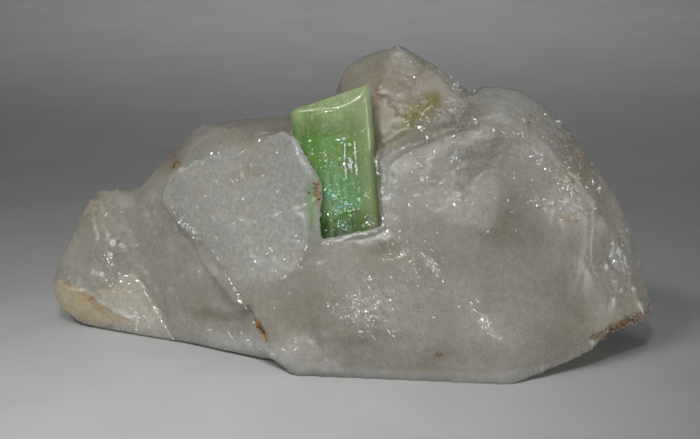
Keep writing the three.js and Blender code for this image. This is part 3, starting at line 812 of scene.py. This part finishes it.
veilSpots = [
    {"mask": "plate", "count": 800, "clump": 3, "thread": 3, "depth": (0, 0.3)},
    {"mask": "cream", "inset": 0.2, "count": 260, "depth": (-0.04, 0.1)},
    {"at": (2.7, 11.4), "reach": (6, 3.6), "turn": -35, "count": 560, "grain": -42, "scatter": 0.5,
     "depth": (-0.06, 0.12)},
    {"at": (2.4, 16.2), "reach": (3, 0.8), "turn": -45, "count": 60, "grain": -45},
    {"at": (9.6, 19), "reach": (5.4, 3.6), "turn": -20, "count": 400, "grain": -45, "scatter": 0.5,
     "depth": (-0.06, 0.12)},
    {"at": (13.4, 18), "reach": (3, 0.7), "turn": -55, "count": 200, "grain": -58, "depth": (-0.06, 0.12)},
    {"at": (21.1, 10.3), "reach": (4.5, 1.2), "turn": -52, "count": 380, "grain": -55,
     "depth": (-0.06, 0.12)},
    {"at": (13.5, 39.6), "reach": (5, 1.5), "turn": 25, "count": 160, "grain": 15},
    {"at": (17, 34), "reach": (2, 3.4), "count": 110, "grain": 70},
    {"at": (11, 34), "reach": (3, 3), "count": 90, "grain": -60},
    {"at": (18, 28), "reach": (6, 1), "turn": -38, "count": 90, "grain": -38},
    {"at": (31, 33.5), "reach": (8, 2), "turn": -42, "count": 260, "grain": -42},
    {"at": (28.5, 28.5), "reach": (4, 3), "count": 110, "grain": 40},
    {"at": (35, 28), "reach": (3.4, 4.4), "count": 420, "depth": (-0.06, 0.12)},
    {"at": (43.5, 17.5), "reach": (2, 4), "count": 140, "grain": 70},
    {"at": (-40, 13), "reach": (3.5, 3.5), "count": 120},
    {"at": (-18, 3.6), "reach": (7, 1.3), "turn": -12, "count": 420, "grain": -10, "depth": (-0.06, 0.12)},
    {"at": (-9.5, 4.8), "reach": (3, 1.4), "count": 90, "grain": 15},
    {"at": (8, 45), "reach": (6, 3), "turn": -20, "count": 220, "grain": -50},
    {"at": (6, 28), "reach": (1.4, 5), "count": 120, "grain": 80},
    {"at": (0, 22), "reach": (46, 16), "count": 900, "clump": 2.5, "thread": 3, "grain": -45,
     "scatter": 0.7},
]
veilSeats = seatsOf(veilSpots, (-0.02, 0.35))
veilSizes = chipSizes(veilSeats, shape=2.0, spread=0.04, least=0.05, most=0.3)
veilMesh = chipMesh("veils", veilSeats, veilSizes, thick=0.3, lean=0.3, length=2.8)

# Healed cracks: sheets of tiny bubbles and breaks that show as thin milky threads.
veil = newMaterial("healedVeil")
tree = veil.node_tree
shader = addNode(tree, "ShaderNodeBsdfPrincipled", None,
                 {"Base Color": "#fffefa", "Roughness": 0.4, "Alpha": 0.4})
addNode(tree, "ShaderNodeOutputMaterial", None, {"Surface": shader.outputs[0]})
showPiece("healedVeils", veilMesh, veil)
print("veils:", len(veilSizes))

# White, splintered edges of the flakes.
quartzTree = treeOf(quartzMesh)
rimSpots = [
    {"line": [(-28.6, 22), (-25.5, 19.8), (-22.6, 18.3), (-21, 16), (-18, 11), (-15.5, 7.6)], "count": 160},
    {"line": [(-30.6, 26), (-29, 29.4), (-24.7, 31.9), (-20.5, 34.2), (-15, 36.2)], "count": 60,
     "spread": 0.2},
    {"line": [(-13, 14.6), (-10.8, 15.8), (-8.7, 17.8), (-6.8, 21.6)], "count": 50, "spread": 0.2},
    {"line": [(-38.5, 12.1), (-36, 12), (-34.5, 10.4), (-32.8, 7.4), (-31, 4.4), (-29.4, 2.2)], "count": 90,
     "spread": 0.1},
    {"line": [(12.5, 47.4), (13.8, 46.2), (16, 45), (18, 42.8)], "count": 170, "spread": 0.35,
     "scatter": 0.5},
    {"line": [(5, 30), (5.6, 27), (5.2, 24)], "count": 50, "spread": 0.3, "scatter": 0.6},
    {"line": [(3.6, 35), (4, 33), (4.4, 31.4)], "count": 40, "spread": 0.15},
    {"line": [(42.2, 29), (43.9, 26.4), (45.4, 21.8), (46.6, 16.2), (46.2, 12.9)], "count": 60},
]
rimSeats = seatsOnFronts(quartzTree, rimSpots)
rimSizes = chipSizes(rimSeats, shape=2.0, spread=0.07, least=0.08, most=0.4)
rimMesh = chipMesh("brokenRims", rimSeats, rimSizes, thick=0.4, lean=0.5, length=2.6)
showPiece("brokenRims", rimMesh, glint)
print("rims:", len(rimSizes))

crumbSpots = [
    {"line": [(-16.2, 8.9), (-15, 7.2), (-13.6, 5.2)], "count": 230, "spread": 0.26},
    {"line": [(-17.9, 12), (-17, 10.4), (-16.2, 8.9)], "count": 26, "spread": 0.06},
    {"at": (-29.3, 30.3), "reach": (1.3, 0.7), "turn": 45, "count": 30},
    {"at": (-5.6, 29.4), "reach": (0.9, 2), "count": 76},
    {"at": (13.8, 4.9), "reach": (0.9, 0.5), "count": 16},
    {"at": (44, 5.6), "reach": (5, 0.5), "turn": 6, "count": 120},
    {"at": (-17.4, 30.1), "reach": (0.4, 0.3), "count": 6},
    {"at": (-12.9, 23.7), "reach": (0.4, 0.3), "count": 5},
    {"at": (29, 38.8), "reach": (0.3, 1), "count": 10},
]
rustSeats = seatsOnFronts(quartzTree, crumbSpots)
rustSizes = chipSizes(rustSeats, shape=2.0, spread=0.07, least=0.08, most=0.4)
rustMesh = chipMesh("rust", rustSeats, rustSizes, thick=0.3, lean=0.4, length=1.8)

# Iron rust in the open cracks: dull and earthy, from dark brown to orange.
rust = newMaterial("ironRust")
tree = rust.node_tree
place = addNode(tree, "ShaderNodeTexCoord").outputs["Object"]
rustMottle = addNode(tree, "ShaderNodeTexNoise", None,
                     {"Vector": place, "Scale": 1 / (0.833 * mm)}).outputs["Fac"]
rustTone = setRamp(addNode(tree, "ShaderNodeValToRGB", None, {"Fac": rustMottle}), [
    (0.35, "#4a3014"), (0.5, "#86602a"), (0.65, "#b88c4c")])
shader = addNode(tree, "ShaderNodeBsdfPrincipled", None, {"Base Color": rustTone, "Roughness": 0.7})
addNode(tree, "ShaderNodeOutputMaterial", None, {"Surface": shader.outputs[0]})
showPiece("rustCrumbs", rustMesh, rust)
print("rust:", len(rustSizes))

# Small cracks in the crystal: white ones along its ribs and its break, and bright green and blue-green ones
# low down.
crystalTree = treeOf(crystalMesh)
crackSpots = [
    {"line": [(-3, 36.8), (-1.5, 37.1), (0.2, 37.6), (2.7, 38.7)], "count": 46, "scatter": 0.3},
    {"line": [(-1, 36.4), (-1.1, 34), (-0.8, 31)], "count": 60, "spread": 0.04, "scatter": 0.04,
     "depth": (-0.06, 0)},
    {"line": [(-0.2, 34.2), (0, 32)], "count": 44, "spread": 0.1, "scatter": 0.04, "depth": (-0.06, 0)},
    {"line": [(0.5, 36.8), (0.7, 34), (0.9, 31.6)], "count": 80, "spread": 0.04, "scatter": 0.04,
     "depth": (-0.06, 0)},
    {"line": [(2.2, 36), (2.5, 30), (3.2, 24)], "count": 20, "spread": 0.1, "scatter": 0.05},
    {"at": (3.2, 24), "reach": (1.2, 1), "count": 44},
    {"line": [(-4.4, 23), (-1, 23.4), (2.4, 24), (4, 25)], "count": 30, "spread": 0.15},
    {"line": [(-7.6, 39.8), (-6.5, 36), (-5.4, 32)], "count": 30, "spread": 0.12},
    {"line": [(-6, 40.8), (-2, 41.8), (2.5, 43)], "count": 40, "spread": 0.1, "scatter": 0.1},
    {"at": (-1, 27.4), "reach": (3.4, 2.6), "count": 60},
]
crackSeats = seatsOnFronts(crystalTree, crackSpots)
crackSizes = chipSizes(crackSeats, shape=2.0, spread=0.06, least=0.06, most=0.35)
crackMesh = chipMesh("crystalCracks", crackSeats, crackSizes, thick=0.3, lean=0.5, length=2.2)
showPiece("crystalCracks", crackMesh, glint)

flashSpots = [
    {"at": (-3.4, 29.8), "reach": (0.8, 1), "count": 50},
    {"at": (-2.8, 28.3), "reach": (0.8, 0.7), "count": 40},
    {"at": (-0.4, 27), "reach": (0.9, 0.8), "count": 50},
    {"at": (-2.6, 26), "reach": (1, 0.8), "count": 50},
    {"at": (-1.6, 23.8), "reach": (1.4, 0.7), "count": 50},
    {"at": (1.3, 27.1), "reach": (1, 0.8), "count": 40},
    {"at": (2.3, 28.2), "reach": (0.7, 0.8), "count": 20},
    {"at": (-1, 26.6), "reach": (4, 5), "count": 260},
    {"at": (-4.6, 34.4), "reach": (1, 2), "count": 60},
    {"at": (-2, 33.6), "reach": (3, 2), "count": 60},
]
flashSeats = seatsOnFronts(crystalTree, flashSpots)
flashSizes = chipSizes(flashSeats, shape=1.0, spread=0.13, least=0.07, most=0.6)
flashMesh = chipMesh("greenCracks", flashSeats, flashSizes, thick=0.35, lean=0.8)

# The same cracks, coloured by the crystal round them.
greenGlint = newMaterial("greenCrackGlint")
tree = greenGlint.node_tree
place = addNode(tree, "ShaderNodeTexCoord").outputs["Object"]
mottle = addNode(tree, "ShaderNodeTexNoise", None,
                 {"Vector": place, "Scale": 1 / (1.11 * mm)}).outputs["Fac"]
glintTone = setRamp(addNode(tree, "ShaderNodeValToRGB", None, {"Fac": mottle}), [
    (0.35, "#a0ece4"), (0.5, "#c0f4cc"), (0.65, "#e4f8b8")])
shader = addNode(tree, "ShaderNodeBsdfPrincipled", None,
                 {"Base Color": glintTone, "Roughness": 0.22, "Metallic": 0.15})
addNode(tree, "ShaderNodeOutputMaterial", None, {"Surface": shader.outputs[0]})
showPiece("greenCracks", flashMesh, greenGlint)
print("crystal cracks:", len(crackSizes) + len(flashSizes))

# Stage, lights and camera

# A round floor of card that bends up into a wall all round.
stageForm = {"reach": 1900, "bend": 700, "wall": 900, "steps": 12, "sides": 96}
sweep = bmesh.new()
rimVerts = [sweep.verts.new((0, 0, 0)), sweep.verts.new((stageForm["reach"] * mm, 0, 0))]
for step in range(1, stageForm["steps"] + 1):
    turn = math.pi / 2 * step / stageForm["steps"]
    out = stageForm["reach"] + stageForm["bend"] * math.sin(turn)
    rimVerts.append(sweep.verts.new((out * mm, 0, stageForm["bend"] * (1 - math.cos(turn)) * mm)))
rimVerts.append(sweep.verts.new(rimVerts[-1].co + Vector((0, 0, stageForm["wall"] * mm))))
for lower, upper in zip(rimVerts, rimVerts[1:]):
    sweep.edges.new((lower, upper))
bmesh.ops.spin(sweep, geom=sweep.verts[:] + sweep.edges[:], cent=(0, 0, 0), axis=(0, 0, 1),
               angle=2 * math.pi, steps=stageForm["sides"], use_merge=True)
bmesh.ops.remove_doubles(sweep, verts=sweep.verts, dist=0.01 * mm)
bmesh.ops.recalc_face_normals(sweep, faces=sweep.faces)
sweepMesh = bpy.data.meshes.new("paperSweep")
sweep.to_mesh(sweepMesh)
sweep.free()

# Matt pale grey card, with a faint cloudiness and no shine.
paper = newMaterial("matCard")
tree = paper.node_tree
place = addNode(tree, "ShaderNodeTexCoord").outputs["Object"]
fibres = addNode(tree, "ShaderNodeTexNoise", None,
                 {"Vector": place, "Scale": 1 / (16.7 * mm), "Detail": 5.0}).outputs["Fac"]
paperTone = setRamp(addNode(tree, "ShaderNodeValToRGB", None, {"Fac": fibres}), [
    (0.3, "#a3a3a3"), (0.7, "#aaaaaa")])
shader = addNode(tree, "ShaderNodeBsdfPrincipled", None, {"Base Color": paperTone, "Roughness": 0.8})
addNode(tree, "ShaderNodeOutputMaterial", None, {"Surface": shader.outputs[0]})
stagePiece = bpy.data.objects.new("paperSweep", sweepMesh)
bpy.context.scene.collection.objects.link(stagePiece)
sweepMesh.materials.append(paper)
sweepMesh.shade_smooth()


# A round lamp with a soft edge to its beam, which is this many degrees wide.
def addLight(name, spot, aim, power, size, beam=180):
    light = bpy.data.lights.new(name, "AREA")
    light.energy = power
    light.shape = "DISK"
    light.size = size * mm
    light.spread = math.radians(beam)
    lamp = bpy.data.objects.new(name, light)
    bpy.context.scene.collection.objects.link(lamp)
    lamp.location = Vector(spot) * mm
    lamp.rotation_euler = (Vector(aim) - Vector(spot)).to_track_quat("-Z", "Y").to_euler()
    lamp.visible_camera = False


# The pool lights the floor in front of the block, and the far fill the floor behind it.
addLight("softKey", spot=(-260, -200, 330), aim=(-75, -35, 0), power=0.075, size=200, beam=36)
addLight("pool", spot=(-60, -300, 420), aim=(-20, -60, 0), power=0.034, size=110, beam=22)
addLight("farFill", spot=(0, 335, 420), aim=(0, 325, 0), power=0.147, size=240, beam=60)
addLight("overhead", spot=(60, 60, 420), aim=(30, 30, 0), power=0.012, size=200, beam=40)
addLight("frontFill", spot=(0, -450, 80), aim=(0, 0, 24), power=0.138, size=150)
addLight("rightFill", spot=(440, -120, 75), aim=(40, 0, 20), power=0.52, size=140)
addLight("rightFront", spot=(300, -380, 75), aim=(36, 0, 20), power=0.16, size=140)
addLight("flash", spot=(-60, -380, 190), aim=(0, 0, 20), power=0.014, size=24)  # small, for the glints

world = bpy.data.worlds.new("dimRoom")
world.use_nodes = True
world.node_tree.nodes["Background"].inputs[0].default_value = linearColour("#8a8c92")
world.node_tree.nodes["Background"].inputs[1].default_value = 0.2
bpy.context.scene.world = world

cameraForm = {"target": (-0.2, -0.33, 21.2), "distance": 400, "elevation": 15, "across": 116, "sensor": 36}
lens = bpy.data.cameras.new("camera")
lens.sensor_width = cameraForm["sensor"]
lens.lens = cameraForm["sensor"] * cameraForm["distance"] / cameraForm["across"]
camera = bpy.data.objects.new("camera", lens)
bpy.context.scene.collection.objects.link(camera)
elevation = math.radians(cameraForm["elevation"])
back = Vector((0, -math.cos(elevation), math.sin(elevation)))
camera.location = (Vector(cameraForm["target"]) + back * cameraForm["distance"]) * mm
camera.rotation_euler = (-back).to_track_quat("-Z", "Y").to_euler()
bpy.context.scene.camera = camera
bpy.context.scene.view_settings.view_transform = "Standard"
print("stage, lights and camera are set")
